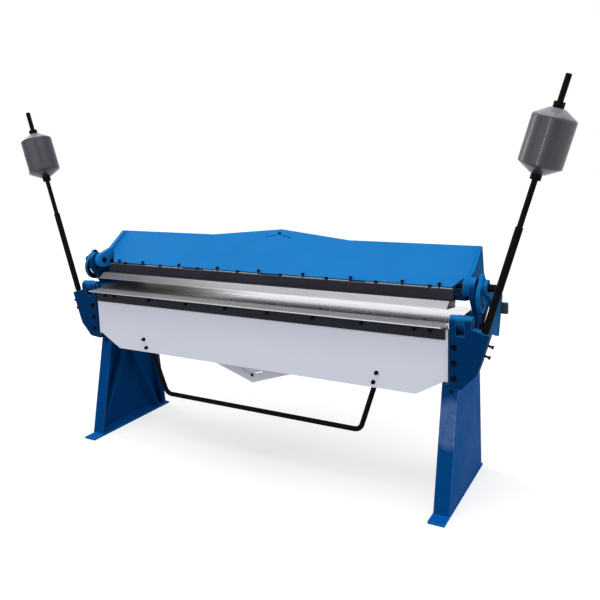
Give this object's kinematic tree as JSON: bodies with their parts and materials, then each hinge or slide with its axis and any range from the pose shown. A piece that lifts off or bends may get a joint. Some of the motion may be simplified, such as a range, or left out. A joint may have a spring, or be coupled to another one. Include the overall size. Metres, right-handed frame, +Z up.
{
  "type": "sheet metal folding machine",
  "caption": "Floor-standing manual sheet metal folder with a counterweighted folding beam and pull handle, and a clamping beam worked by side levers and cams over a plain bed.",
  "frame": {"origin": "On the floor, in the middle of the rectangle that the two feet mark out.", "axes": "+X along the bed to the operator's right, +Y from the operator towards the back, +Z up."},
  "size_m": [3.0671, 0.64, 1.8689],
  "materials": {
    "blue_paint": "bright blue semi-gloss machine enamel",
    "apron_grey": "flat light grey enamel",
    "ground_steel": "ground bright steel, grain along the length",
    "dark_steel": "dark grey satin coating",
    "black_steel": "blackened steel, satin",
    "weight_grey": "turned iron in dark grey gloss paint",
    "grip_black": "moulded black grip"
  },
  "bodies": {
    "root": {"left_foot": "blue_paint", "right_foot": "blue_paint", "left_stand_panel": "blue_paint", "right_stand_panel": "blue_paint", "left_hinge_block": "blue_paint", "right_hinge_block": "blue_paint", "left_cheek": "blue_paint", "right_cheek": "blue_paint", "stand_ribs": "blue_paint", "bed_table": "ground_steel", "bed_girder": "blue_paint", "cheek_bolts": "black_steel", "rear_pivot_pins": "black_steel", "cam_followers": "black_steel"},
    "folding_beam": {"folding_lip": "ground_steel", "folding_bar": "dark_steel", "folding_bar_bolts": "black_steel", "apron_plate": "apron_grey", "apron_camber_plate": "apron_grey", "apron_camber_screw": "black_steel", "bracket_bolts": "black_steel", "hinge_pins": "black_steel", "rod_clamp_screws": "black_steel", "pull_handle": "black_steel", "pull_handle_bolts": "black_steel", "left_end_block": "blue_paint", "right_end_block": "blue_paint", "left_end_bracket": "blue_paint", "right_end_bracket": "blue_paint", "left_weight_rod": "black_steel", "right_weight_rod": "black_steel", "left_rod_sleeve": "black_steel", "right_rod_sleeve": "black_steel"},
    "clamping_beam": {"clamp_blade": "ground_steel", "blade_holder_bar": "dark_steel", "clamp_base_plate": "blue_paint", "clamp_top_plate": "blue_paint", "clamp_camber_screw": "black_steel", "clamp_gussets": "blue_paint", "clamp_end_studs": "black_steel", "holder_tall_screws": "black_steel", "holder_low_screws": "black_steel", "left_clamp_end_plate": "blue_paint", "right_clamp_end_plate": "blue_paint"},
    "left_weight": {"left_counterweight": "weight_grey", "left_weight_collars": "black_steel"},
    "left_shaft": {"left_clamp_shaft": "black_steel", "left_cam_plate": "blue_paint", "left_clamp_lever": "blue_paint", "left_lever_grip": "grip_black"},
    "right_weight": {"right_counterweight": "weight_grey", "right_weight_collars": "black_steel"},
    "right_shaft": {"right_clamp_shaft": "black_steel", "right_cam_plate": "blue_paint", "right_clamp_lever": "blue_paint", "right_lever_grip": "grip_black"}
  },
  "joints": [
    {"name": "folding_hinge", "type": "hinge", "parent": "root", "child": "folding_beam", "pos_m": [0, -0.162, 0.8695], "axis": [-1, 0, 0], "range_deg": [0, 105]},
    {"name": "clamp_hinge", "type": "hinge", "parent": "root", "child": "clamping_beam", "pos_m": [0, 0.238, 0.886], "axis": [1, 0, 0], "range_deg": [0, 8.31]},
    {"name": "left_shaft_turn", "type": "hinge", "parent": "clamping_beam", "child": "left_shaft", "pos_m": [-1.1, -0.06401, 1.00197], "axis": [1, 0, 0], "range_deg": [0, 91.41]},
    {"name": "right_shaft_turn", "type": "hinge", "parent": "clamping_beam", "child": "right_shaft", "pos_m": [1.1, -0.06401, 1.00197], "axis": [1, 0, 0], "range_deg": [0, 91.41]},
    {"name": "left_weight_slide", "type": "slide", "parent": "folding_beam", "child": "left_weight", "axis": [-0.2807, 0, 0.9598], "range_m": [-0.19, 0.1]},
    {"name": "right_weight_slide", "type": "slide", "parent": "folding_beam", "child": "right_weight", "axis": [0.2807, 0, 0.9598], "range_m": [-0.19, 0.1]}
  ],
  "couplings": [
    {"joint": "left_shaft_turn", "follows": "clamp_hinge", "ratio": 11},
    {"joint": "right_shaft_turn", "follows": "clamp_hinge", "ratio": 11}
  ]
}
